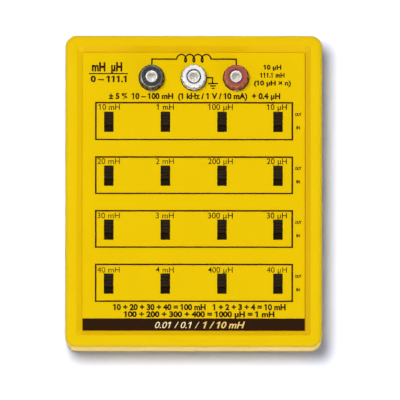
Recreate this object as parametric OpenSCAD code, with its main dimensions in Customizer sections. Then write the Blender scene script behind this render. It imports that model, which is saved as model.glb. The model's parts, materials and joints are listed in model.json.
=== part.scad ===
// Inductance decade box: two-shell case, sixteen slide switches on a board, three binding posts.
// Millimetres. Origin at the middle of the footprint on the table, +Z out of the panel, +Y towards the posts.

/* [Case] */
// Width of the case, left to right
case_w = 130; // [129:0.2:134]
// Length of the case, from the front edge to the post end
case_l = 158; // [157:0.2:160]
// Height of the rim above the table
case_h = 45; // [44:0.5:48]
// Radius of the four upright corners
corner_r = 5.8; // [5:0.2:8]
// Wall thickness of both shells
wall = 2.5; // [2.25:0.25:2.75]
// Height above the table where the two shells meet
joint_z = 20; // [19:0.5:21]
// Rounding of the rim's outer edge
rim_round = 2.5; // [1.2:0.1:2.6]
// Depth of the panel floor below the rim
recess_depth = 2; // [1.6:0.1:2.4]
// Width of the opening between the inner edges of the rim
opening_w = 118.6; // [118:0.1:119.5]
// Length of the opening between the inner edges of the rim
opening_l = 146.7; // [146:0.1:147.4]
// How far the opening sits towards the posts
opening_shift = 0.3; // [0:0.1:0.4]
// Thickness of the panel floor
panel_t = 2.2; // [2:0.1:2.4]

/* [Label] */
// Width of the printed plate
label_w = 112.4; // [111.5:0.1:112.6]
// Length of the printed plate
label_l = 140.8; // [140:0.1:141.4]
// Thickness of the printed plate
label_t = 0.3; // [0.2:0.05:0.4]
// How far the printed plate sits towards the front edge
label_shift = 0.1; // [0:0.05:0.4]
// Gap round the printed plate
label_gap = 0.4; // [0.3:0.05:0.5]
// Depth of the groove in that gap
groove_depth = 0.6; // [0.2:0.05:0.8]

/* [Switches] */
// Distance between switch columns
col_pitch = 28.65; // [28.5:0.05:29]
// How much closer the last column stands
last_col = 0.3; // [0:0.1:0.5]
// Distance between switch rows
row_pitch = 27.35; // [27.2:0.05:27.5]
// Y position of the row nearest the posts
row_top = 35.35; // [35:0.05:35.6]
// Width of a switch slot
slot_w = 4.85; // [4.7:0.05:4.9]
// Length of a switch slot
slot_l = 10.3; // [10.1:0.05:10.4]
// Width of a slider knob
knob_w = 4.45; // [4.2:0.05:4.45]
// Length of a slider knob
knob_l = 6.4; // [6.2:0.05:6.4]
// How far a slider travels
slider_travel = 3.4; // [3.2:0.05:3.4]
// How far a knob stands above the printed plate
knob_proud = 0.4; // [0.2:0.1:1]

/* [Binding posts] */
// Distance between neighbouring posts
post_pitch = 21.35; // [21:0.05:21.6]
// Y position of the row of posts
post_y = 57.5; // [57:0.1:58.5]
// Diameter of the insulating flange
flange_d = 13.3; // [13.2:0.1:14]
// Outer diameter of a cap at the foot of its grip
cap_d = 12.6; // [12.4:0.1:13]
// How much the radius of the grip shrinks towards the top
cap_taper = 0.45; // [0.3:0.05:0.5]
// How much smaller the diameter of a cap's skirt is
cap_step = 0.8; // [0.6:0.1:1]
// Height of a cap's flat top above the printed plate
cap_top = 13.5; // [13:0.5:18]
// Width of the bevel round a cap's flat top
cap_bevel = 0.4; // [0.3:0.05:0.6]
// Diameter of a stud
stud_d = 6.2; // [6.1:0.05:6.3]
// Diameter of the test-plug socket in a stud
socket_d = 4.1; // [4:0.05:4.2]
// Number of grip notches round a cap
cap_notches = 12; // [10:1:16]

/* [Inside] */
// Thickness of the circuit board
board_t = 1.6; // [1.5:0.1:1.7]
// Thickness of the screen plate
screen_t = 0.5; // [0.4:0.1:0.6]
// Outer diameters of the radial chokes, largest decade first
choke_d = [13, 10, 8];
// Heights of the radial chokes, largest decade first
choke_h = [15, 12, 10];

/* [Hidden] */

// Heights
foot_h = 2;
floor_t = 2.5;
shell_gap = 0.3;
z_floor = case_h - recess_depth;
z_label = z_floor + label_t;
z_panel = z_floor - panel_t;
z_screen = z_panel - screen_t;
z_frame = z_screen - 0.2;
frame_sheet = 0.5;
frame_half = 9.2;
z_base_top = z_frame - 4.3;
z_board = z_panel - 8.2;
z_board_low = z_board - board_t;

// Plan positions
cols = [-1.5 * col_pitch, -0.5 * col_pitch, 0.5 * col_pitch, 1.5 * col_pitch - last_col];
rows = [row_top, row_top - row_pitch, row_top - 2 * row_pitch, row_top - 3 * row_pitch];
slider_rest = slider_travel / 2;
post_x = [-post_pitch, 0, post_pitch];
screw_xy = [[-56.5, -70.3], [56.5, -70.3], [-56.5, 70.3], [56.5, 70.3]];
foot_xy = [[-42, -68], [42, -68], [-42, 68], [42, 68]];
board_xy = [[-28.75, rows[0] - row_pitch / 2], [28.75, rows[0] - row_pitch / 2], [0, rows[1] - row_pitch / 2],
            [-28.75, rows[2] - row_pitch / 2], [28.75, rows[2] - row_pitch / 2]];
choke_x = [-28.75, 0, 28.75];
axial_x = 51.2;
axial_half = 4.5;
terminal_x = 2.2;
terminal_y = 3.2;

// Binding post heights
z_flange = z_label + 2.7;
z_shoulder = z_flange + 0.6;
z_clamp = z_shoulder + 0.1;
clamp_t = 1;
z_cap_low = z_flange + 0.3;
z_cap = z_label + cap_top;
z_stud = z_cap + 0.3;
z_stud_low = 32.2;
z_socket = z_label - 1.3;
// The ground post's nut bears on the screen plate, the other two on insulating bushes under the panel
stack_z = [z_panel - 2, z_screen, z_panel - 2];
cap_edge = 0.35;
cap_slope = cap_bevel / 2;
z_grip = z_cap_low + 1.1;
z_edge = z_cap - cap_slope - cap_edge;
nut_t = 2.4;
lug_t = 0.5;

// Flat shapes
module rounded_rect(w, l, r) {
  union() {
    square([w - 2 * r, l], center = true);
    square([w, l - 2 * r], center = true);
    for (x = [-1, 1], y = [-1, 1]) translate([x * (w / 2 - r), y * (l / 2 - r)]) circle(r = r, $fn = 64);
  }
}

// Half section of a wall edge: corner_r deep, with its outer top corner rounded by e
module edge_section(h, e) {
  union() {
    square([corner_r - e, h]);
    square([corner_r, h - e]);
    translate([corner_r - e, h - e]) circle(r = e, $fn = 48);
  }
}

// A solid block with upright rounded corners whose top edge is rounded by e
module soft_block(w, l, h, e) {
  iw = w - 2 * corner_r;
  il = l - 2 * corner_r;
  union() {
    translate([-iw / 2, -il / 2, 0]) cube([iw, il, h]);
    translate([iw / 2, il / 2, 0]) rotate([90, 0, 0]) linear_extrude(height = il) edge_section(h, e);
    translate([-iw / 2, -il / 2, 0]) rotate([90, 0, 180]) linear_extrude(height = il) edge_section(h, e);
    translate([-iw / 2, il / 2, 0]) rotate([90, 0, 90]) linear_extrude(height = iw) edge_section(h, e);
    translate([iw / 2, -il / 2, 0]) rotate([90, 0, -90]) linear_extrude(height = iw) edge_section(h, e);
    translate([iw / 2, il / 2, 0]) rotate_extrude(angle = 90, $fn = 96) edge_section(h, e);
    translate([-iw / 2, il / 2, 0]) rotate([0, 0, 90]) rotate_extrude(angle = 90, $fn = 96) edge_section(h, e);
    translate([-iw / 2, -il / 2, 0]) rotate([0, 0, 180]) rotate_extrude(angle = 90, $fn = 96) edge_section(h, e);
    translate([iw / 2, -il / 2, 0]) rotate([0, 0, 270]) rotate_extrude(angle = 90, $fn = 96) edge_section(h, e);
  }
}

// A cavity with upright rounded corners, inset from the case outline
module inset_block(inset, z0, z1) {
  translate([0, 0, z0]) linear_extrude(height = z1 - z0)
    rounded_rect(case_w - 2 * inset, case_l - 2 * inset, corner_r - inset);
}

module at_switches() {
  for (x = cols, y = rows) translate([x, y, 0]) children();
}

module switch_slots(z0, z1, w, l) {
  at_switches() translate([-w / 2, -l / 2, z0]) cube([w, l, z1 - z0]);
}

module post_holes(z0, z1, r) {
  for (x = post_x) translate([x, post_y, z0]) cylinder(r = r, h = z1 - z0, $fn = 48);
}

// Case
module upper_case() {
  color([0.93, 0.79, 0.04]) difference() {
    union() {
      difference() {
        translate([0, 0, joint_z + shell_gap])
          soft_block(case_w, case_l, case_h - joint_z - shell_gap, rim_round);
        inset_block(wall, joint_z, z_panel);
        inset_block(wall - 1.15, joint_z - 1, joint_z + 2.1);
      }
      for (p = screw_xy) translate([p[0], p[1], joint_z + shell_gap])
        cylinder(r = 4.5, h = z_panel - joint_z - shell_gap + 1, $fn = 48);
      for (p = screw_xy) translate([p[0] > 0 ? p[0] : -case_w / 2 + wall - 0.5, p[1] - 0.8, joint_z + 3])
        cube([case_w / 2 - wall + 0.5 - abs(p[0]), 1.6, z_panel - joint_z - 2]);
      for (p = board_xy) translate([p[0], p[1], z_board])
        cylinder(r = 3, h = z_panel - z_board + 1, $fn = 48);
    }
    // Sunken floor of the panel, with sloping sides and a narrow groove round the plate's seat
    hull() {
      translate([0, -label_shift, z_floor]) linear_extrude(height = 0.02)
        rounded_rect(label_w + 2 * label_gap, label_l + 2 * label_gap, 0.9, $fn = 32);
      translate([0, opening_shift, case_h]) linear_extrude(height = 0.5)
        rounded_rect(opening_w, opening_l, 1.2, $fn = 32);
    }
    translate([0, -label_shift, z_floor - groove_depth]) linear_extrude(height = groove_depth + 0.01) difference() {
      rounded_rect(label_w + 2 * label_gap, label_l + 2 * label_gap, 0.9);
      rounded_rect(label_w, label_l, 0.5);
    }
    switch_slots(z_panel - 1, z_floor + 1, slot_w, slot_l);
    post_holes(z_panel - 1, z_floor + 1, 4.1);
    for (p = screw_xy) translate([p[0], p[1], joint_z]) cylinder(r = 1.5, h = 11.5, $fn = 32);
    for (p = board_xy) translate([p[0], p[1], z_board - 1]) cylinder(r = 1.3, h = 7.5, $fn = 32);
  }
}

module lower_case() {
  color([0.93, 0.79, 0.04]) difference() {
    union() {
      difference() {
        union() {
          translate([0, 0, joint_z]) mirror([0, 0, 1]) soft_block(case_w, case_l, joint_z - foot_h, 2);
          inset_block(wall - 1, joint_z - 2, joint_z + 1.6);
        }
        inset_block(wall, foot_h + floor_t, joint_z - 1);
        inset_block(wall, joint_z - 2, joint_z + 2);
      }
      for (p = screw_xy) translate([p[0], p[1], foot_h + 1]) cylinder(r = 4.5, h = joint_z - foot_h - 1, $fn = 48);
      for (p = screw_xy) translate([p[0] > 0 ? p[0] : -case_w / 2 + wall - 0.5, p[1] - 0.8, foot_h + 1])
        cube([case_w / 2 - wall + 0.5 - abs(p[0]), 1.6, joint_z - foot_h - 3]);
    }
    for (p = screw_xy) translate([p[0], p[1], foot_h - 1]) cylinder(r = 3.3, h = 7, $fn = 48);
    for (p = screw_xy) translate([p[0], p[1], foot_h]) cylinder(r = 1.7, h = joint_z, $fn = 32);
    for (p = foot_xy) translate([p[0], p[1], foot_h - 1]) cylinder(r = 6.1, h = 1.8, $fn = 64);
  }
}

module front_label() {
  color([0.94, 0.8, 0.02]) difference() {
    translate([0, -label_shift, z_floor]) linear_extrude(height = label_t) rounded_rect(label_w, label_l, 0.5);
    switch_slots(z_floor - 1, z_floor + 1, slot_w, slot_l);
    post_holes(z_floor - 1, z_floor + 1, 4.1);
  }
}

module rubber_feet() {
  color([0.13, 0.13, 0.13]) for (p = foot_xy) translate([p[0], p[1], 0]) union() {
    cylinder(r1 = 5.3, r2 = 6, h = 0.8, $fn = 64);
    translate([0, 0, 0.8]) cylinder(r = 6, h = foot_h, $fn = 64);
  }
}

module case_screws() {
  color([0.75, 0.75, 0.76]) for (p = screw_xy) translate([p[0], p[1], 0]) difference() {
    union() {
      translate([0, 0, foot_h + 4]) cylinder(r1 = 2.3, r2 = 2.8, h = 0.6, $fn = 48);
      translate([0, 0, foot_h + 4.6]) cylinder(r = 2.8, h = 1.4, $fn = 48);
      translate([0, 0, foot_h + 5]) cylinder(r = 1.45, h = 23.5, $fn = 32);
    }
    translate([-1.7, -0.35, foot_h + 3]) cube([3.4, 0.7, 2.1]);
    translate([-0.35, -1.7, foot_h + 3]) cube([0.7, 3.4, 2.1]);
  }
}

// Board and switches
module circuit_board() {
  color([0.1, 0.36, 0.2]) difference() {
    translate([-56, -60, z_board_low]) cube([112, 107, board_t]);
    at_switches() {
      for (x = [-1, 1], y = [-1, 0, 1]) translate([x * terminal_x - 0.4, y * terminal_y - 0.7, z_board_low - 1])
        cube([0.8, 1.4, board_t + 2]);
      for (y = [-1, 1]) translate([-1.25, y * (frame_half - 0.25) - 0.45, z_board_low - 1]) cube([2.5, 0.9, board_t + 2]);
    }
    for (p = board_xy) translate([p[0], p[1], z_board_low - 1]) cylinder(r = 1.6, h = board_t + 2, $fn = 32);
    for (x = choke_x, y = rows, s = [-1, 1]) translate([x + s * 2.5, y, z_board_low - 1])
      cylinder(r = 0.55, h = board_t + 2, $fn = 16);
    for (y = rows, s = [-1, 1]) translate([axial_x, y + s * (axial_half + 1.5), z_board_low - 1])
      cylinder(r = 0.5, h = board_t + 2, $fn = 16);
    for (x = post_x) translate([x, post_y - 13.2, z_board_low - 1]) cylinder(r = 0.6, h = board_t + 2, $fn = 16);
  }
}

module board_screws() {
  color([0.75, 0.75, 0.76]) for (p = board_xy) translate([p[0], p[1], z_board_low]) difference() {
    union() {
      translate([0, 0, -1.6]) cylinder(r = 2.6, h = 1.6, $fn = 48);
      translate([0, 0, -1]) cylinder(r = 1.25, h = 8, $fn = 32);
    }
    translate([-1.5, -0.3, -2]) cube([3, 0.6, 1.4]);
    translate([-0.3, -1.5, -2]) cube([0.6, 3, 1.4]);
  }
}

module screen_plate() {
  color([0.8, 0.81, 0.82]) difference() {
    translate([-58, -72, z_screen]) cube([116, 144, screen_t]);
    switch_slots(z_screen - 1, z_panel + 1, 6, 11.4);
    for (i = [0, 2]) translate([post_x[i], post_y, z_screen - 1]) cylinder(r = 7, h = 3, $fn = 48);
    translate([post_x[1], post_y, z_screen - 1]) cylinder(r = 3.2, h = 3, $fn = 48);
    for (p = board_xy) translate([p[0], p[1], z_screen - 1]) cylinder(r = 3.4, h = 3, $fn = 48);
    for (p = screw_xy) translate([p[0] > 0 ? 51 : -59, p[1] > 0 ? 64.8 : -73, z_screen - 1]) cube([8, 8.2, 3]);
  }
}

module switch_frame() {
  union() {
    difference() {
      translate([-4.3, -frame_half, z_base_top - 1.6]) cube([8.6, 2 * frame_half, z_frame - z_base_top + 1.6]);
      translate([-3.8, -frame_half + 0.5, z_base_top - 2])
        cube([7.6, 2 * frame_half - 1, z_frame - z_base_top + 2 - frame_sheet]);
      translate([-2.55, -5.4, z_frame - 1]) cube([5.1, 10.8, 2]);
    }
    // Lips folded under the base, and the two lugs that enter the board
    for (x = [-1, 1], y = [-1, 1]) translate([x > 0 ? 2.9 : -4, y * 6.5 - 1, z_base_top - 1.6]) cube([1.1, 2, 0.4]);
    for (y = [-1, 1]) translate([-1, y * (frame_half - 0.25) - 0.25, z_board_low - 0.8])
      cube([2, 0.5, z_base_top - z_board_low]);
  }
}

module switch_frames() {
  color([0.72, 0.73, 0.75]) at_switches() switch_frame();
}

module switch_bases() {
  color([0.45, 0.27, 0.12]) at_switches() difference() {
    translate([-3.75, -frame_half + 0.55, z_base_top - 1.2]) cube([7.5, 2 * frame_half - 1.1, 1.2]);
    for (x = [-1, 1], y = [-1, 0, 1]) translate([x * terminal_x - 0.25, y * terminal_y - 0.55, z_base_top - 2])
      cube([0.5, 1.1, 3]);
  }
}

module switch_terminals() {
  color([0.8, 0.78, 0.7]) at_switches() for (x = [-1, 1], y = [-1, 0, 1])
    translate([x * terminal_x, y * terminal_y, 0]) union() {
      translate([-0.2, -0.5, z_board_low - 1]) cube([0.4, 1, z_base_top - z_board_low + 1.1]);
      translate([-0.7, -1, z_base_top]) cube([1.4, 2, 0.3]);
    }
}

// One slider at its OUT position: ridged knob above, carriage below with two pockets for the clips
module slider(col, row) {
  top = z_label + knob_proud;
  color([0.09, 0.09, 0.09]) translate([cols[col], rows[row] + slider_rest, 0]) difference() {
    union() {
      translate([-3.5, -6.85, z_base_top + 1.8]) cube([7, 13.7, 1.8]);
      translate([-knob_w / 2, -knob_l / 2, z_base_top + 3]) cube([knob_w, knob_l, top - z_base_top - 3]);
    }
    for (x = [-1, 1]) translate([x * terminal_x - 0.8, -2.5, z_base_top + 1]) cube([1.6, 5, 1.7]);
    for (i = [-1, 0, 1]) translate([-knob_w / 2 - 1, i * knob_l / 4, top - 0.45]) rotate([45, 0, 0])
      cube([knob_w + 2, 0.8, 0.8]);
  }
}

// The pair of sprung clips in one slider, each bridging two neighbouring terminals
module clips(col, row) {
  color([0.8, 0.55, 0.25]) translate([cols[col], rows[row] + slider_rest, z_base_top]) for (x = [-1, 1])
    translate([x * terminal_x + 0.6, 0, 0]) rotate([90, 0, -90]) linear_extrude(height = 1.2)
      polygon([[-2.3, 0.4], [-1.3, 0.4], [-0.9, 2], [0.9, 2], [1.3, 0.4], [2.3, 0.4], [2.3, 0.7], [1.5, 0.7],
               [1.1, 2.3], [-1.1, 2.3], [-1.5, 0.7], [-2.3, 0.7]]);
}

// Inductors, hanging under the board
module choke_place() {
  for (i = [0, 1, 2], y = rows) translate([choke_x[i], y, z_board_low - 0.6]) {
    $d = choke_d[i];
    $h = choke_h[i];
    children();
  }
}

module choke_cores() {
  color([0.2, 0.2, 0.21]) choke_place() union() {
    translate([0, 0, -1.5]) cylinder(r = $d / 2, h = 1.5, $fn = 48);
    translate([0, 0, -$h + 1]) cylinder(r = $d / 5, h = $h - 2, $fn = 32);
    translate([0, 0, -$h]) cylinder(r = $d / 2, h = 1.5, $fn = 48);
  }
}

module choke_windings() {
  color([0.72, 0.36, 0.16]) choke_place() difference() {
    translate([0, 0, -$h + 1.5]) cylinder(r = $d / 2 - 0.5, h = $h - 3, $fn = 48);
    translate([0, 0, -$h]) cylinder(r = $d / 5, h = $h, $fn = 32);
  }
}

module axial_chokes() {
  color([0.3, 0.55, 0.35]) for (y = rows) translate([axial_x, y, z_board_low - 2.6]) rotate([90, 0, 0]) union() {
    translate([0, 0, -axial_half]) cylinder(r = 1.9, h = 2 * axial_half, $fn = 32);
    translate([0, 0, -axial_half + 0.6]) cylinder(r = 2.2, h = 1.8, $fn = 32);
    translate([0, 0, axial_half - 2.4]) cylinder(r = 2.2, h = 1.8, $fn = 32);
  }
}

module component_leads() {
  color([0.8, 0.8, 0.78]) {
    choke_place() for (s = [-1, 1]) translate([s * 2.5, 0, 0]) cylinder(r = 0.4, h = board_t + 1.6, $fn = 16);
    for (y = rows, s = [-1, 1]) translate([axial_x, y + s * axial_half, z_board_low - 2.6]) union() {
      rotate([s * -90, 0, 0]) cylinder(r = 0.35, h = 1.5, $fn = 16);
      translate([0, s * 1.5, 0]) sphere(r = 0.35, $fn = 16);
      translate([0, s * 1.5, 0]) cylinder(r = 0.35, h = board_t + 3.6, $fn = 16);
    }
  }
}

// Binding posts
module at_posts() {
  for (x = post_x) translate([x, post_y, 0]) children();
}

module post_flanges() {
  color([0.1, 0.1, 0.1]) at_posts() difference() {
    union() {
      translate([0, 0, z_label]) cylinder(r = flange_d / 2, h = 2.1, $fn = 64);
      translate([0, 0, z_label + 2.1]) cylinder(r1 = flange_d / 2, r2 = flange_d / 2 - 0.6, h = 0.6, $fn = 64);
      translate([0, 0, z_panel + 0.4]) cylinder(r = 4, h = z_label - z_panel, $fn = 48);
    }
    translate([0, 0, z_panel - 1]) cylinder(r = 3.2, h = 10, $fn = 48);
  }
}

module post_studs() {
  color([0.83, 0.81, 0.77]) at_posts() difference() {
    union() {
      translate([0, 0, z_stud_low]) cylinder(r = stud_d / 2, h = z_stud - z_stud_low - 0.4, $fn = 48);
      translate([0, 0, z_stud - 0.4]) cylinder(r1 = stud_d / 2, r2 = stud_d / 2 - 0.3, h = 0.4, $fn = 48);
      translate([0, 0, z_flange]) cylinder(r = 4.6, h = z_shoulder - z_flange, $fn = 48);
    }
    translate([0, 0, z_socket]) cylinder(r = socket_d / 2, h = 20, $fn = 48);
    translate([0, 0, z_stud - 0.3]) cylinder(r1 = socket_d / 2, r2 = socket_d / 2 + 0.31, h = 0.31, $fn = 48);
    translate([-6, 0, z_clamp + 2]) rotate([0, 90, 0]) cylinder(r = 1.1, h = 12, $fn = 32);
  }
}

module post_bushes() {
  color([0.1, 0.1, 0.1]) for (i = [0, 2]) translate([post_x[i], post_y, stack_z[i]]) difference() {
    cylinder(r = 6, h = 2, $fn = 48);
    translate([0, 0, -1]) cylinder(r = 3.2, h = 4, $fn = 48);
  }
}

module post_nuts() {
  color([0.82, 0.8, 0.74]) for (i = [0, 1, 2], s = [0, 1])
    translate([post_x[i], post_y, stack_z[i] - nut_t - s * (nut_t + lug_t)]) difference() {
      rotate([0, 0, s * 17]) cylinder(r = 5.77, h = nut_t, $fn = 6);
      translate([0, 0, -1]) cylinder(r = stud_d / 2 + 0.05, h = nut_t + 2, $fn = 48);
    }
}

module solder_lugs() {
  color([0.85, 0.84, 0.8]) for (i = [0, 1, 2]) translate([post_x[i], post_y, stack_z[i] - nut_t - lug_t]) difference() {
    union() {
      cylinder(r = 5, h = lug_t, $fn = 48);
      translate([-1.6, -10.5, 0]) cube([3.2, 8, lug_t]);
    }
    translate([0, 0, -1]) cylinder(r = stud_d / 2 + 0.1, h = 3, $fn = 48);
    translate([0, -9.2, -1]) cylinder(r = 0.6, h = 3, $fn = 24);
  }
}

// Each wire: bare end through the board, a bend of radius 1.6, and a straight run under its lug
module hookup_wires() {
  color([0.85, 0.85, 0.85]) for (i = [0, 1, 2]) {
    zw = stack_z[i] - nut_t - lug_t - 0.8;
    translate([post_x[i], post_y - 13.2, 0]) union() {
      translate([0, 0, z_board_low - 0.8]) cylinder(r = 0.4, h = board_t + 1.4, $fn = 24);
      translate([0, 0, z_board]) cylinder(r = 0.8, h = zw - 1.6 - z_board, $fn = 24);
      translate([0, 1.6, zw - 1.6]) rotate([0, -90, 0]) rotate([0, 0, -90]) rotate_extrude(angle = 90, $fn = 48)
        translate([1.6, 0]) circle(r = 0.8, $fn = 24);
      translate([0, 1.6, zw]) rotate([-90, 0, 0]) cylinder(r = 0.8, h = 3.2, $fn = 24);
    }
  }
}

// One cap, screwed down: a tapered grip with notches, a rounded edge and a bevel round its flat top
module cap(i, shade, turn) {
  top_r = cap_d / 2 - cap_taper;
  color(shade) translate([post_x[i], post_y, 0]) rotate([0, 0, turn]) difference() {
    union() {
      translate([0, 0, z_cap_low]) cylinder(r = (cap_d - cap_step) / 2, h = 0.7, $fn = 96);
      translate([0, 0, z_cap_low + 0.7]) cylinder(r1 = (cap_d - cap_step) / 2, r2 = cap_d / 2, h = 0.4, $fn = 96);
      translate([0, 0, z_grip]) cylinder(r1 = cap_d / 2, r2 = top_r, h = z_edge - z_grip, $fn = 96);
      translate([0, 0, z_edge]) cylinder(r = top_r - cap_edge, h = cap_edge, $fn = 96);
      translate([0, 0, z_edge]) rotate_extrude($fn = 96)
        translate([top_r - cap_edge, 0]) circle(r = cap_edge, $fn = 48);
      translate([0, 0, z_cap - cap_slope])
        cylinder(r1 = top_r - cap_edge, r2 = top_r - cap_edge - cap_bevel, h = cap_slope, $fn = 96);
    }
    translate([0, 0, z_cap_low - 1]) cylinder(r = 5, h = z_clamp + clamp_t + 1.3 - z_cap_low, $fn = 48);
    translate([0, 0, z_cap_low]) cylinder(r = stud_d / 2 + 0.05, h = 20, $fn = 48);
    translate([0, 0, z_cap - 3]) cylinder(r = 3.75, h = 5, $fn = 48);
    translate([0, 0, z_cap - 0.2]) cylinder(r1 = 3.75, r2 = 3.96, h = 0.21, $fn = 48);
    for (a = [0 : cap_notches - 1]) rotate([0, 0, a * 360 / cap_notches])
      translate([cap_d / 2 + 0.06, 0, z_grip + 0.4])
        rotate([0, -atan(cap_taper / (z_edge - z_grip)), 0]) cylinder(r = 0.6, h = 20, $fn = 24);
  }
}

module clamp_washer(i) {
  color([0.83, 0.81, 0.77]) translate([post_x[i], post_y, z_clamp]) difference() {
    cylinder(r = 4.6, h = clamp_t, $fn = 48);
    translate([0, 0, -1]) cylinder(r = stud_d / 2 + 0.08, h = 3, $fn = 48);
  }
}

module black_cap() { cap(0, [0.12, 0.12, 0.13], 8); }
module white_cap() { cap(1, [0.93, 0.93, 0.94], 2); }
module red_cap() { cap(2, [0.72, 0.13, 0.12], 20); }
module black_clamp() { clamp_washer(0); }
module white_clamp() { clamp_washer(1); }
module red_clamp() { clamp_washer(2); }

module slider_10mh() { slider(0, 0); }
module slider_20mh() { slider(0, 1); }
module slider_30mh() { slider(0, 2); }
module slider_40mh() { slider(0, 3); }
module slider_1mh() { slider(1, 0); }
module slider_2mh() { slider(1, 1); }
module slider_3mh() { slider(1, 2); }
module slider_4mh() { slider(1, 3); }
module slider_100uh() { slider(2, 0); }
module slider_200uh() { slider(2, 1); }
module slider_300uh() { slider(2, 2); }
module slider_400uh() { slider(2, 3); }
module slider_10uh() { slider(3, 0); }
module slider_20uh() { slider(3, 1); }
module slider_30uh() { slider(3, 2); }
module slider_40uh() { slider(3, 3); }

module clips_10mh() { clips(0, 0); }
module clips_20mh() { clips(0, 1); }
module clips_30mh() { clips(0, 2); }
module clips_40mh() { clips(0, 3); }
module clips_1mh() { clips(1, 0); }
module clips_2mh() { clips(1, 1); }
module clips_3mh() { clips(1, 2); }
module clips_4mh() { clips(1, 3); }
module clips_100uh() { clips(2, 0); }
module clips_200uh() { clips(2, 1); }
module clips_300uh() { clips(2, 2); }
module clips_400uh() { clips(2, 3); }
module clips_10uh() { clips(3, 0); }
module clips_20uh() { clips(3, 1); }
module clips_30uh() { clips(3, 2); }
module clips_40uh() { clips(3, 3); }

upper_case();
lower_case();
front_label();
rubber_feet();
case_screws();
circuit_board();
board_screws();
screen_plate();
switch_frames();
switch_bases();
switch_terminals();
choke_cores();
choke_windings();
axial_chokes();
component_leads();
post_flanges();
post_studs();
post_bushes();
post_nuts();
solder_lugs();
hookup_wires();
black_cap();
white_cap();
red_cap();
black_clamp();
white_clamp();
red_clamp();
slider_10mh();
slider_20mh();
slider_30mh();
slider_40mh();
slider_1mh();
slider_2mh();
slider_3mh();
slider_4mh();
slider_100uh();
slider_200uh();
slider_300uh();
slider_400uh();
slider_10uh();
slider_20uh();
slider_30uh();
slider_40uh();
clips_10mh();
clips_20mh();
clips_30mh();
clips_40mh();
clips_1mh();
clips_2mh();
clips_3mh();
clips_4mh();
clips_100uh();
clips_200uh();
clips_300uh();
clips_400uh();
clips_10uh();
clips_20uh();
clips_30uh();
clips_40uh();
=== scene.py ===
import json
import math

import bmesh
import bpy
from mathutils import Matrix, Vector


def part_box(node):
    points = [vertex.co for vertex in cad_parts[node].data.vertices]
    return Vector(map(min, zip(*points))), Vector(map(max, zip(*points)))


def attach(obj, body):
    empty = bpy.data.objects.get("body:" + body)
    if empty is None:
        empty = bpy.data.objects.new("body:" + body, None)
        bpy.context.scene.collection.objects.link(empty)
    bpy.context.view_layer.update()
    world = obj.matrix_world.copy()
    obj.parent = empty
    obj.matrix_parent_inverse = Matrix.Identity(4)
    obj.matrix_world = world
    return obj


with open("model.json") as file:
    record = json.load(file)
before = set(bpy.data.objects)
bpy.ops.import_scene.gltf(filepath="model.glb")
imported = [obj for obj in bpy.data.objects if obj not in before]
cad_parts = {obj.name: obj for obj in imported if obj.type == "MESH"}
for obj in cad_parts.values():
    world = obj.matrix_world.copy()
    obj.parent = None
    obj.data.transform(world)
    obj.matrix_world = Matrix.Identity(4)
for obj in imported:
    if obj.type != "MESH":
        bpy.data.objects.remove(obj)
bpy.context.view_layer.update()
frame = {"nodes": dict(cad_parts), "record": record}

scene = bpy.context.scene
nodes = frame["nodes"]
MM = 0.001

# ---------------------------------------------------------------- camera
# Face to face with the panel from far off, leaning a little towards the front edge.
FACE_Z = 45.0 * MM
VIEW_W = 202.4 * MM
DIST = 7.5
TILT = math.radians(3.5)
ROLL = math.radians(0.05)
AIM = Vector((3.2 * MM, -4.42 * MM, FACE_Z))
cam_data = bpy.data.cameras.new("camera")
cam_data.type = "PERSP"
cam_data.sensor_fit = "HORIZONTAL"
cam_data.sensor_width = 36.0
cam_data.lens = 36.0 * DIST / VIEW_W
cam_data.clip_start = 0.01
cam_data.clip_end = 50.0
cam = bpy.data.objects.new("camera", cam_data)
scene.collection.objects.link(cam)
cam.matrix_world = (
    Matrix.Translation(AIM + Vector((0, -math.sin(TILT), math.cos(TILT))) * DIST)
    @ Matrix.Rotation(TILT, 4, "X")
    @ Matrix.Rotation(ROLL, 4, "Z")
)
scene.camera = cam
scene.view_settings.view_transform = "Standard"
scene.view_settings.look = "None"

# ---------------------------------------------------------------- floor and light
floor_mesh = bpy.data.meshes.new("floor")
floor_mesh.from_pydata([(-12, -12, 0), (12, -12, 0), (12, 12, 0), (-12, 12, 0)], [], [(0, 1, 2, 3)])
floor = bpy.data.objects.new("floor", floor_mesh)
scene.collection.objects.link(floor)

world = bpy.data.worlds.new("studio")
scene.world = world
world.use_nodes = True
wnt = world.node_tree
bg = wnt.nodes["Background"]
bg.inputs["Color"].default_value = (0.94, 1.04, 1.36, 1)
# Even studio walls, dimmer overhead
w_dir = wnt.nodes.new("ShaderNodeTexCoord")
w_sep = wnt.nodes.new("ShaderNodeSeparateXYZ")
w_map = wnt.nodes.new("ShaderNodeMapRange")
w_map.inputs["From Min"].default_value = 0.0
w_map.inputs["From Max"].default_value = 1.0
w_map.inputs["To Min"].default_value = 0.30
w_map.inputs["To Max"].default_value = 0.12
wnt.links.new(w_dir.outputs["Generated"], w_sep.inputs[0])
wnt.links.new(w_sep.outputs["Z"], w_map.inputs["Value"])
wnt.links.new(w_map.outputs["Result"], bg.inputs["Strength"])


def area(name, place, aim, size, power, colour=(1, 1, 1), shape="RECTANGLE"):
    data = bpy.data.lights.new(name, "AREA")
    data.shape = shape
    data.size, data.size_y = size
    data.energy = power
    data.color = colour
    o = bpy.data.objects.new(name, data)
    scene.collection.objects.link(o)
    place, aim = Vector(place), Vector(aim)
    o.location = place
    o.rotation_euler = (aim - place).to_track_quat("-Z", "Y").to_euler()
    o.visible_camera = False
    return o


key = area("key", (-0.15, 0.138, 1.78), (0, 0, 0.03), (0.38, 0.38), 31.3, shape="DISK")
key.visible_glossy = False
area("front_right_fill", (0.75, -0.95, 1.10), (0, 0, 0.03), (0.5, 0.5), 2.4, (0.94, 1.04, 1.35))
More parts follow.
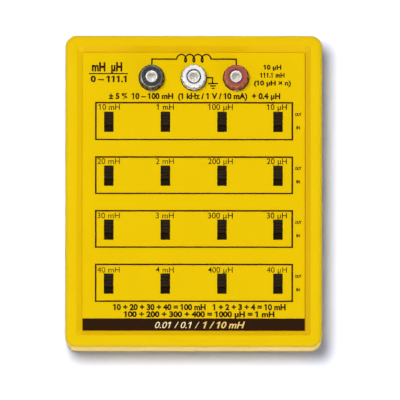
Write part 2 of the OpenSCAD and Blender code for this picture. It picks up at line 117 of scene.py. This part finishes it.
# A low light along the front wall, and softboxes that only show in glossy surfaces
area("front_low", (0.05, -1.5, 0.16), (0, 0, 0.03), (0.7, 0.25), 2.6, (1.0, 0.88, 0.96))
for name, place, size, power in (
    ("left_softbox", (-1.15, -0.25, 0.95), (0.7, 0.5), 9.0),
    ("front_softbox", (0.0, -1.15, 1.25), (0.8, 0.4), 12.0),
    ("back_softbox", (0.3, 1.2, 1.0), (0.8, 0.4), 5.0),
    ("overhead_softbox", (-0.05, 0.20, 2.2), (1.0, 1.0), 2.8),
):
    box = area(name, place, (0, 0, 0.05), size, power)
    box.visible_diffuse = False
card = area("front_card", (0, -0.101, 0.003), (0, -0.101, 1.0), (0.3, 0.04), 0.075, (1.0, 0.93, 0.97))
card.visible_diffuse = False
# A ring of small softboxes half way up, for the rims of the caps
for k in range(8):
    a = math.radians(22.5 + 45 * k)
    power = (3.0, 3.0, 3.4, 4.0, 5.5, 7.5, 5.5, 3.5)[k]
    box = area("ring_softbox_%d" % k, (1.0 * math.sin(a), 1.0 * math.cos(a), 0.78), (0, 0, 0.05), (0.8, 0.3), power)
    box.visible_diffuse = False


# ---------------------------------------------------------------- materials
def principled(name):
    m = bpy.data.materials.new(name)
    m.use_nodes = True
    nt = m.node_tree
    b = nt.nodes["Principled BSDF"]
    return m, nt, b


def noise(nt, scale, detail=2.0, rough=0.5, vector=None, distortion=0.0):
    n = nt.nodes.new("ShaderNodeTexNoise")
    n.inputs["Scale"].default_value = scale
    n.inputs["Detail"].default_value = detail
    n.inputs["Roughness"].default_value = rough
    n.inputs["Distortion"].default_value = distortion
    if vector is None:
        c = nt.nodes.new("ShaderNodeTexCoord")
        vector = c.outputs["Object"]
    nt.links.new(vector, n.inputs["Vector"])
    return n.outputs["Fac"]


def stretched(nt, scale_xyz):
    c = nt.nodes.new("ShaderNodeTexCoord")
    m = nt.nodes.new("ShaderNodeMapping")
    m.inputs["Scale"].default_value = scale_xyz
    nt.links.new(c.outputs["Object"], m.inputs["Vector"])
    return m.outputs["Vector"]


def ramp(nt, fac, stops):
    r = nt.nodes.new("ShaderNodeValToRGB")
    els = r.color_ramp.elements
    while len(els) < len(stops):
        els.new(0.5)
    for e, (p, c) in zip(els, stops):
        e.position = p
        e.color = (*c, 1) if len(c) == 3 else c
    nt.links.new(fac, r.inputs["Fac"])
    return r.outputs["Color"]


def span(nt, fac, lo, hi, a=0.3, b=0.7):
    r = nt.nodes.new("ShaderNodeMapRange")
    r.inputs["From Min"].default_value = a
    r.inputs["From Max"].default_value = b
    r.inputs["To Min"].default_value = lo
    r.inputs["To Max"].default_value = hi
    nt.links.new(fac, r.inputs["Value"])
    return r.outputs["Result"]


def bump(nt, b, height, strength, distance):
    n = nt.nodes.new("ShaderNodeBump")
    n.inputs["Strength"].default_value = strength
    n.inputs["Distance"].default_value = distance
    nt.links.new(height, n.inputs["Height"])
    nt.links.new(n.outputs["Normal"], b.inputs["Normal"])


def plastic(name, colour, darker, rough, rough_var, grain, grain_depth, grain_strength=0.35, mottle=60.0, coat=0.0,
            spec=0.5, tint=None):
    """Moulded plastic: slow colour drift, patchy gloss, fine surface grain."""
    m, nt, b = principled(name)
    nt.links.new(ramp(nt, noise(nt, mottle, 3.0), [(0.3, darker), (0.7, colour)]), b.inputs["Base Color"])
    nt.links.new(span(nt, noise(nt, 240.0, 4.0), rough - rough_var, rough + rough_var), b.inputs["Roughness"])
    bump(nt, b, noise(nt, grain, 3.0, 0.6), grain_strength, grain_depth)
    b.inputs["Specular IOR Level"].default_value = spec
    if tint:
        b.inputs["Specular Tint"].default_value = (*tint, 1)
    if coat:
        b.inputs["Coat Weight"].default_value = coat
        b.inputs["Coat Roughness"].default_value = 0.12
    return m


def metal(name, colour, darker, rough, rough_var, scale=(300, 300, 4000), strength=0.12, depth=0.00002, metallic=1.0):
    """Plated or drawn metal: streaked roughness and faint tool marks."""
    m, nt, b = principled(name)
    v = stretched(nt, scale)
    nt.links.new(ramp(nt, noise(nt, 300.0, 3.0), [(0.3, darker), (0.7, colour)]), b.inputs["Base Color"])
    nt.links.new(span(nt, noise(nt, 1.0, 3.0, vector=v), rough - rough_var, rough + rough_var), b.inputs["Roughness"])
    bump(nt, b, noise(nt, 1.0, 3.0, vector=v), strength, depth)
    b.inputs["Metallic"].default_value = metallic
    return m


MATS = {
    "case_plastic": plastic("case_plastic", (0.70, 0.466, 0.0008), (0.682, 0.450, 0.0005), 0.55, 0.05, 3200.0, 0.00004, 0.25, spec=0.14,
                            tint=(1.0, 0.8, 0.2)),
    "panel_print": plastic("panel_print", (0.688, 0.453, 0.0003), (0.673, 0.441, 0.0003), 0.5, 0.04, 1500.0, 0.00002, 0.12, spec=0.11,
                           tint=(1.0, 0.8, 0.2)),
    "rubber": plastic("rubber", (0.03, 0.03, 0.031), (0.02, 0.02, 0.02), 0.75, 0.08, 2200.0, 0.00006, 0.5),
    "laminate_green": plastic("laminate_green", (0.03, 0.16, 0.07), (0.02, 0.12, 0.05), 0.35, 0.08, 900.0, 0.00003, 0.2),
    "laminate_brown": plastic("laminate_brown", (0.20, 0.09, 0.03), (0.14, 0.06, 0.02), 0.6, 0.1, 1200.0, 0.00003, 0.3),
    "ferrite": plastic("ferrite", (0.05, 0.05, 0.055), (0.03, 0.03, 0.033), 0.6, 0.1, 2500.0, 0.00005, 0.4),
    "choke_resin": plastic("choke_resin", (0.10, 0.33, 0.16), (0.07, 0.25, 0.12), 0.25, 0.08, 700.0, 0.00005, 0.2),
    "black_plastic": plastic("black_plastic", (0.015, 0.014, 0.013), (0.010, 0.0095, 0.009), 0.16, 0.04, 1800.0, 0.00003, 0.25),
    "white_plastic": plastic("white_plastic", (0.675, 0.666, 0.635), (0.64, 0.632, 0.602), 0.28, 0.06, 1800.0, 0.00003, 0.2),
    "red_plastic": plastic("red_plastic", (0.325, 0.061, 0.040), (0.29, 0.051, 0.033), 0.42, 0.07, 1800.0, 0.00003, 0.25, spec=0.32),
    "slider_plastic": plastic("slider_plastic", (0.0135, 0.0075, 0.003), (0.009, 0.005, 0.002), 0.46, 0.08, 2600.0, 0.00004, 0.3, spec=0.16,
                              tint=(1.0, 0.8, 0.55)),
    "wire_insulation": plastic("wire_insulation", (0.72, 0.72, 0.70), (0.66, 0.66, 0.64), 0.4, 0.06, 900.0, 0.00003, 0.2),
    "screw_steel": metal("screw_steel", (0.62, 0.62, 0.63), (0.5, 0.5, 0.51), 0.32, 0.08),
    "sheet_aluminium": metal("sheet_aluminium", (0.80, 0.81, 0.82), (0.72, 0.73, 0.74), 0.38, 0.1, (60, 4000, 60)),
    "switch_steel": metal("switch_steel", (0.60, 0.61, 0.63), (0.5, 0.5, 0.52), 0.35, 0.1),
    "tinned_metal": metal("tinned_metal", (0.75, 0.75, 0.72), (0.65, 0.65, 0.62), 0.3, 0.1),
    "copper_wire": metal("copper_wire", (0.62, 0.22, 0.07), (0.5, 0.16, 0.05), 0.3, 0.08, (200, 200, 5000), 0.8, 0.0001),
    "plated_brass": metal("plated_brass", (0.93, 0.91, 0.86), (0.86, 0.83, 0.78), 0.26, 0.07, (600, 600, 2500), 0.15, 0.00003, 0.8),
    "spring_bronze": metal("spring_bronze", (0.62, 0.34, 0.12), (0.52, 0.27, 0.09), 0.3, 0.08),
}

# Painted light and shade in the base colour: the groove round the printed plate is painted dark as painted shadow,
# the sunken floor's slopes and the far edge of the rim are painted in orange tones as painted shade, the inside of the
# three sockets is painted paler as painted light, and the gap between each stud and its cap is painted dark as painted
# shade
def math_node(nt, op, a, b_=None):
    n = nt.nodes.new("ShaderNodeMath")
    n.operation = op
    for i, v in enumerate((a, b_)):
        if v is None:
            continue
        if isinstance(v, (int, float)):
            n.inputs[i].default_value = v
        else:
            nt.links.new(v, n.inputs[i])
    return n.outputs[0]


def place(nt):
    sep = nt.nodes.new("ShaderNodeSeparateXYZ")
    nt.links.new(nt.nodes.new("ShaderNodeNewGeometry").outputs["Position"], sep.inputs[0])
    return sep.outputs["X"], sep.outputs["Y"], sep.outputs["Z"]


def tinted(nt, mask, colour):
    """Where mask is 1 the base colour becomes this one."""
    b = nt.nodes["Principled BSDF"]
    clean = b.inputs["Base Color"].links[0].from_socket
    mix = nt.nodes.new("ShaderNodeMix")
    mix.data_type = "RGBA"
    mix.inputs[7].default_value = (*colour, 1)
    nt.links.new(mask, mix.inputs[0])
    nt.links.new(clean, mix.inputs[6])
    nt.links.new(mix.outputs[2], b.inputs["Base Color"])


def copy_of(name, new_name):
    m = MATS[name].copy()
    m.name = new_name
    MATS[new_name] = m
    return m.node_tree


floor_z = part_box("front_label")[0].z
rim_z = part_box("upper_case")[1].z
cap_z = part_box("white_cap")[1].z
post_y = (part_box("white_cap")[0].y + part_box("white_cap")[1].y) / 2
post_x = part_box("red_cap")[1].x - (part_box("white_cap")[1].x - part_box("white_cap")[0].x) / 2

nt = copy_of("case_plastic", "case_plastic_painted_shade")
x, y, z = place(nt)
ax, ay = math_node(nt, "ABSOLUTE", x), math_node(nt, "ABSOLUTE", y)
within = math_node(nt, "MULTIPLY", math_node(nt, "LESS_THAN", ax, 59.4 * MM), math_node(nt, "LESS_THAN", ay, 73.9 * MM))
slope = math_node(nt, "MULTIPLY", within, math_node(nt, "LESS_THAN", z, rim_z - 0.03 * MM))
slope = math_node(nt, "MULTIPLY", slope, math_node(nt, "GREATER_THAN", z, floor_z - 0.01 * MM))
# Painted shade: the slopes of the sunken floor are painted more orange, the left slope lighter and the right slope
# darker
tinted(nt, slope, (0.71, 0.428, 0.0003))
tinted(nt, math_node(nt, "MULTIPLY", slope, math_node(nt, "LESS_THAN", x, -56.3 * MM)), (0.73, 0.452, 0.0003))
tinted(nt, math_node(nt, "MULTIPLY", slope, math_node(nt, "GREATER_THAN", x, 56.3 * MM)), (0.655, 0.382, 0.0002))
# and the top of the rim is painted a shade more orange towards the far edge, as painted shade
far = nt.nodes.new("ShaderNodeMapRange")
far.inputs["From Min"].default_value, far.inputs["From Max"].default_value = 62 * MM, 79 * MM
nt.links.new(y, far.inputs["Value"])
tinted(nt, math_node(nt, "MULTIPLY", far.outputs["Result"], math_node(nt, "GREATER_THAN", z, rim_z - 0.3 * MM)), (0.685, 0.430, 0.0003))
# Painted shadow: the groove round the printed plate is painted dark, darker still along the right side
groove = math_node(nt, "MULTIPLY", within, math_node(nt, "LESS_THAN", z, floor_z - 0.01 * MM))
tinted(nt, groove, (0.60, 0.362, 0.0004))
tinted(nt, math_node(nt, "MULTIPLY", groove, math_node(nt, "GREATER_THAN", x, 56.0 * MM)), (0.35, 0.18, 0.0003))


def from_post(nt, x, y):
    """Distance from the axis of the nearest post."""
    dx = math_node(nt, "SUBTRACT", math_node(nt, "ABSOLUTE", math_node(nt, "SUBTRACT", math_node(nt, "ABSOLUTE", x), post_x / 2)), post_x / 2)
    dy = math_node(nt, "SUBTRACT", y, post_y)
    return math_node(nt, "SQRT", math_node(nt, "ADD", math_node(nt, "MULTIPLY", dx, dx), math_node(nt, "MULTIPLY", dy, dy)))


nt = copy_of("plated_brass", "plated_brass_painted_light")
x, y, z = place(nt)
# Painted light: the inside of each socket is painted a paler colour
hole = math_node(nt, "MULTIPLY", math_node(nt, "LESS_THAN", from_post(nt, x, y), 2.08 * MM), math_node(nt, "LESS_THAN", z, cap_z - 0.1 * MM))
tinted(nt, hole, (0.97, 0.93, 0.83))
for shade in ("black", "white", "red"):
    nt = copy_of(shade + "_plastic", shade + "_plastic_cap")
    x, y, z = place(nt)
    r = from_post(nt, x, y)
    # Painted shade: the gap between each stud and its cap is painted dark
    gap = math_node(nt, "MULTIPLY", math_node(nt, "LESS_THAN", r, 3.78 * MM), math_node(nt, "LESS_THAN", z, cap_z - 0.25 * MM))
    tinted(nt, gap, {"black": (0.05, 0.048, 0.045), "white": (0.10, 0.095, 0.09), "red": (0.26, 0.09, 0.07)}[shade])
    # The grip is duller than the top, from handling
    b = nt.nodes["Principled BSDF"]
    polish = b.inputs["Roughness"].links[0].from_socket
    grip = math_node(nt, "MULTIPLY", math_node(nt, "GREATER_THAN", r, 4.5 * MM), math_node(nt, "LESS_THAN", z, cap_z - 0.7 * MM))
    nt.links.new(math_node(nt, "MAXIMUM", polish, math_node(nt, "MULTIPLY", grip, 0.5)), b.inputs["Roughness"])

SPECIAL = {"upper_case": "case_plastic_painted_shade", "post_studs": "plated_brass_painted_light", "black_cap": "black_plastic_cap",
           "white_cap": "white_plastic_cap", "red_cap": "red_plastic_cap"}
slots = {s["node"]: s["material_slot"] for s in frame["record"]["subparts"]}
for name, o in nodes.items():
    mat = MATS[SPECIAL.get(name, slots[name])]
    if not o.data.materials:
        o.data.materials.append(mat)
    for i in range(len(o.data.materials)):
        o.data.materials[i] = mat

# Floor: pale and even, with a faint grain
fm, fnt, fb = principled("floor_paper")
fnt.links.new(ramp(fnt, noise(fnt, 3.0, 2.0), [(0.3, (0.865, 0.89, 0.985)), (0.7, (0.875, 0.90, 0.995))]), fb.inputs["Base Color"])
fb.inputs["Roughness"].default_value = 0.9
fb.inputs["Specular IOR Level"].default_value = 0.1
floor_mesh.materials.append(fm)

# Ink: dark brown-black screen print
ink, int_, ib = principled("ink")
int_.links.new(ramp(int_, noise(int_, 900.0, 2.0), [(0.3, (0.014, 0.004, 0.0005)), (0.7, (0.020, 0.006, 0.001))]), ib.inputs["Base Color"])
int_.links.new(span(int_, noise(int_, 500.0, 3.0), 0.5, 0.62), ib.inputs["Roughness"])
ib.inputs["Specular IOR Level"].default_value = 0.06
ib.inputs["Specular Tint"].default_value = (1.0, 0.85, 0.6, 1)
pale, pnt, pb = principled("pale_ink")
pnt.links.new(ramp(pnt, noise(pnt, 900.0, 2.0), [(0.3, (0.80, 0.68, 0.34)), (0.7, (0.86, 0.74, 0.40))]), pb.inputs["Base Color"])
pnt.links.new(span(pnt, noise(pnt, 500.0, 3.0), 0.38, 0.5), pb.inputs["Roughness"])

gold = pale.copy()
gold.name = "gold_ink"
for e, c in zip(next(n for n in gold.node_tree.nodes if n.type == "VALTORGB").color_ramp.elements, ((0.66, 0.44, 0.09, 1), (0.72, 0.49, 0.12, 1))):
    e.color = c

# ---------------------------------------------------------------- printing
LABEL_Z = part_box("front_label")[1].z
INK_T = 0.03 * MM


def piece(name, bm, mat, body="root"):
    bmesh.ops.remove_doubles(bm, verts=bm.verts, dist=1e-7)
    bmesh.ops.recalc_face_normals(bm, faces=bm.faces)
    me = bpy.data.meshes.new(name)
    bm.to_mesh(me)
    bm.free()
    me.materials.append(mat)
    o = bpy.data.objects.new(name, me)
    scene.collection.objects.link(o)
    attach(o, body)
    return o


def prism(bm, outline, z0=None, z1=None, holes=()):
    """Closed solid from a flat outline in mm, with holes, standing on the printed plate."""
    z0 = LABEL_Z if z0 is None else z0
    z1 = z0 + INK_T if z1 is None else z1
    for z, flip in ((z0, True), (z1, False)):
        loops = [outline, *holes]
        edges = []
        for loop in loops:
            vs = [bm.verts.new((x * MM, y * MM, z)) for x, y in loop]
            edges += [bm.edges.new((vs[i], vs[(i + 1) % len(vs)])) for i in range(len(vs))]
        got = bmesh.ops.triangle_fill(bm, use_beauty=True, use_dissolve=False, edges=edges)
        faces = [f for f in got["geom"] if isinstance(f, bmesh.types.BMFace)]
        if flip:
            bmesh.ops.reverse_faces(bm, faces=faces)
    for loop in (outline, *holes):
        n = len(loop)
        lo = [bm.verts.new((x * MM, y * MM, z0)) for x, y in loop]
        hi = [bm.verts.new((x * MM, y * MM, z1)) for x, y in loop]
        for i in range(n):
            j = (i + 1) % n
            bm.faces.new((lo[i], lo[j], hi[j], hi[i]))


def rect(x0, y0, x1, y1):
    return [(x0, y0), (x1, y0), (x1, y1), (x0, y1)]


def stroke(bm, pts, w, closed=False):
    """A line of width w mm along pts, mitred, as one closed solid."""
    n = len(pts)
    left, right = [], []
    for i, (x, y) in enumerate(pts):
        a = pts[i - 1] if (i or closed) else None
        b = pts[(i + 1) % n] if (i < n - 1 or closed) else None
        d1 = Vector((x - a[0], y - a[1])).normalized() if a else None
        d2 = Vector((b[0] - x, b[1] - y)).normalized() if b else None
        d = (d1 + d2).normalized() if (d1 and d2 and (d1 + d2).length > 1e-6) else (d1 or d2)
        nrm = Vector((-d.y, d.x))
        k = 1.0
        if d1 and d2:
            k = 1.0 / max(0.5, nrm.dot(Vector((-d1.y, d1.x))))
        left.append((x + nrm.x * w / 2 * k, y + nrm.y * w / 2 * k))
        right.append((x - nrm.x * w / 2 * k, y - nrm.y * w / 2 * k))
    z0, z1 = LABEL_Z, LABEL_Z + INK_T
    rows = []
    for l, r in zip(left, right):
        rows.append([bm.verts.new((p[0] * MM, p[1] * MM, z)) for p, z in ((l, z0), (r, z0), (r, z1), (l, z1))])
    last = n if closed else n - 1
    for i in range(last):
        a, b = rows[i], rows[(i + 1) % n]
        for k in range(4):
            bm.faces.new((a[k], a[(k + 1) % 4], b[(k + 1) % 4], b[k]))
    if not closed:
        bm.faces.new(rows[0])
        bm.faces.new(rows[-1])


def glyphs(body, offset=0.0, shear=0.0, spacing=1.0):
    """Mesh of a line of text at size 1, as closed solids one unit thick."""
    c = bpy.data.curves.new("line", "FONT")
    c.body = body
    c.offset = offset
    c.shear = shear
    c.space_character = spacing
    c.resolution_u = 5
    c.extrude = 0.5
    c.fill_mode = "BOTH"
    o = bpy.data.objects.new("line", c)
    scene.collection.objects.link(o)
    dg = bpy.context.evaluated_depsgraph_get()
    dg.update()
    me = bpy.data.meshes.new_from_object(o.evaluated_get(dg))
    bpy.data.objects.remove(o)
    bpy.data.curves.remove(c)
    return me


CAP_H = None
EXTENTS = {}


def extent(body, offset, spacing):
    """Left and right ends of upright text at size 1."""
    key = (body, offset, spacing)
    if key not in EXTENTS:
        me = glyphs(body, offset, 0.0, spacing)
        EXTENTS[key] = (min(v.co.x for v in me.vertices), max(v.co.x for v in me.vertices))
        bpy.data.meshes.remove(me)
    return EXTENTS[key]


def text(bm, body, y0, cap, x0=None, x1=None, cx=None, offset=0.0, shear=0.0, spacing=1.0, widen=1.0, lift=0.0):
    """Text with its baseline at y0 and capitals cap mm high: fitted between x0 and x1, or centred on cx."""
    global CAP_H
    if CAP_H is None:
        me = glyphs("H")
        CAP_H = max(v.co.y for v in me.vertices) - min(v.co.y for v in me.vertices)
        bpy.data.meshes.remove(me)
    me = glyphs(body, offset, shear, spacing)
    k = cap / CAP_H
    lo = min(v.co.x for v in me.vertices)
    hi = max(v.co.x for v in me.vertices)
    if x0 is not None:
        kx = (x1 - x0) / (hi - lo)
        sx = x0 - lo * kx
    else:
        kx = k * widen
        sx = cx - (lo + hi) / 2 * kx
    for v in me.vertices:
        v.co = Vector(((v.co.x * kx + sx) * MM, (v.co.y * k + y0) * MM, LABEL_Z + lift + (v.co.z + 0.5) * INK_T))
    bm.from_mesh(me)
    bpy.data.meshes.remove(me)
    # The face's figure one is a bare stem: give each a flag
    for i, char in enumerate(body):
        if char != "1":
            continue
        stem = extent(body[: i + 1], offset, spacing)[1] - (extent("1", offset, spacing)[1] - extent("1", offset, spacing)[0])
        flag = [(0.03, 1.0), (0.0, 1.0), (-0.26, 0.80), (-0.26, 0.68), (0.03, 0.80)]
        flag = [(stem + fx * CAP_H, fy * CAP_H + (offset if fy == 1.0 else 0)) for fx, fy in flag]
        flag = [((fx + shear * fy) * kx + sx, fy * k + y0) for fx, fy in flag]
        prism(bm, flag, LABEL_Z + lift, LABEL_Z + lift + INK_T * 0.98)


ROW_STEP = 27.35

# Frames round the four rows, in a browner ink
brown = ink.copy()
brown.name = "brown_ink"
for e, c in zip(next(n for n in brown.node_tree.nodes if n.type == "VALTORGB").color_ramp.elements, ((0.030, 0.004, 0.0003, 1), (0.040, 0.006, 0.0005, 1))):
    e.color = c
bm = bmesh.new()
for i in range(4):
    y1, y0 = ((45.02, 26.33), (17.44, -1.01), (-9.8, -28.22), (-37.0, -55.64))[i]
    prism(bm, rect(-49.97, y0 - 0.38, 50.34, y1 + 0.42), holes=[rect(-49.13, y0 + 0.38, 49.46, y1 - 0.42)])
piece("print_frames", bm, brown)

# Values over the switches
VALUES = (
    ("10 mH", "1 mH", "100 µH", "10 µH"),
    ("20 mH", "2 mH", "200 µH", "20 µH"),
    ("30 mH", "3 mH", "300 µH", "30 µH"),
    ("40 mH", "4 mH", "400 µH", "40 µH"),
)
SPANS = ((-47.6, -37.4), (-18.2, -10.05), (7.85, 19.8), (37.6, 47.2))
WIDER = (1.15, 0.95, 0.6, 0.6)
bm = bmesh.new()
for r in range(4):
    for c in range(4):
        x0, x1 = SPANS[c]
        x0 -= WIDER[c] if r else 0
        text(bm, VALUES[r][c], (41.45, 13.95, -13.6, -41.1)[r], 2.8, x0, x1, offset=((0.011, 0.0154, 0.0122, 0.0131), (0.004, 0.0046, 0.009, 0.0117), (0.002, 0.0066, 0.0098, 0.0104), (0.001, 0.0044, 0.0033, 0.001))[r][c])
piece("print_values", bm, ink)

# OUT and IN at the right of each row
bm = bmesh.new()
for r in range(4):
    text(bm, "OUT", 38.35 - r * ROW_STEP, 1.4, 51.25, 54.55, offset=0.055)
    text(bm, "IN", 31.6 - r * ROW_STEP, 1.4, 51.95, 53.75, offset=0.06)
piece("print_out_in", bm, brown)

# Coil between the outer posts, and the ground mark by the middle one
bm = bmesh.new()
coil = [(-21.2, 64.0), (-21.2, 67.15)]
turns = 3
t0, t1 = math.radians(-103.5), math.radians(360 * turns + 103.5)
steps = 140
for i in range(steps + 1):
    t = t0 + (t1 - t0) * i / steps
    coil.append((-6.24 + 4.186 * t / (2 * math.pi) + 1.32 * math.sin(t), 67.6 + 1.93 * math.cos(t)))
coil += [(21.5, 67.15), (21.5, 64.0)]
stroke(bm, coil, 0.72)
piece("print_coil", bm, ink)
bm = bmesh.new()
stroke(bm, [(6.0, 57.75), (9.5, 57.75), (9.5, 54.85)], 0.7)
stroke(bm, [(7.3, 54.75), (12.2, 54.75)], 0.7)
stroke(bm, [(8.25, 53.55), (11.2, 53.55)], 0.7)
stroke(bm, [(9.0, 52.35), (10.5, 52.35)], 0.65)
piece("print_ground", bm, ink)

# Numbers and units in the corners and in the lines below and above the rows
bm = bmesh.new()
text(bm, "mH  µH", 61.15, 4.15, -51.6, -36.2, offset=0.05)
stroke(bm, [(-53.1, 59.75), (-33.3, 59.75)], 0.6)
text(bm, "0 – 111.1", 55.6, 2.9, -52.2, -34.0, offset=0.045)
piece("print_left_block", bm, ink)
bm = bmesh.new()
text(bm, "10 µH", 61.95, 2.2, 35.8, 44.3, offset=0.045)
text(bm, "111.1 mH", 57.9, 2.2, 34.0, 46.0, offset=0.045)
text(bm, "(10 µH × n)", 53.9, 2.25, 30.5, 49.2, offset=0.045)
piece("print_right_block", bm, ink)
bm = bmesh.new()
text(bm, "± 5 %  10 – 100 mH  (1 kHz / 1 V / 10 mA)  + 0.4 µH", 47.0, 2.75, -43.0, 43.8, offset=0.045)
text(bm, "10 + 20 + 30 + 40 = 100 mH   1 + 2 + 3 + 4 = 10 mH", -60.0, 2.75, -40.2, 46.6, offset=0.048)
text(bm, "100 + 200 + 300 + 400 = 1000 µH = 1 mH", -63.55, 2.65, -34.7, 40.9, offset=0.048)
piece("print_lines", bm, ink)

# Dark bar along the front edge of the plate, with its lower corners rounded, and pale figures on it
lx0, lx1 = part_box("front_label")[0].x / MM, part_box("front_label")[1].x / MM
ly0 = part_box("front_label")[0].y / MM
bm = bmesh.new()
outline = [(lx1, -64.33), (lx0, -64.33)]
for k in range(7):
    a = math.pi + math.pi / 2 * k / 6
    outline.append((lx0 + 0.5 + 0.5 * math.cos(a), ly0 + 0.5 + 0.5 * math.sin(a)))
for k in range(7):
    a = 1.5 * math.pi + math.pi / 2 * k / 6
    outline.append((lx1 - 0.5 + 0.5 * math.cos(a), ly0 + 0.5 + 0.5 * math.sin(a)))
prism(bm, outline)
piece("print_bar", bm, ink)
bm = bmesh.new()
text(bm, "0.01 / 0.1 /", -69.25, 3.15, -19.5, 3.0, offset=0.0, shear=0.28, lift=INK_T)
piece("print_bar_figures", bm, pale)
bm = bmesh.new()
text(bm, "1 / 10 mH", -69.25, 3.15, 5.0, 26.0, offset=0.02, shear=0.28, lift=INK_T)
piece("print_bar_units", bm, gold)
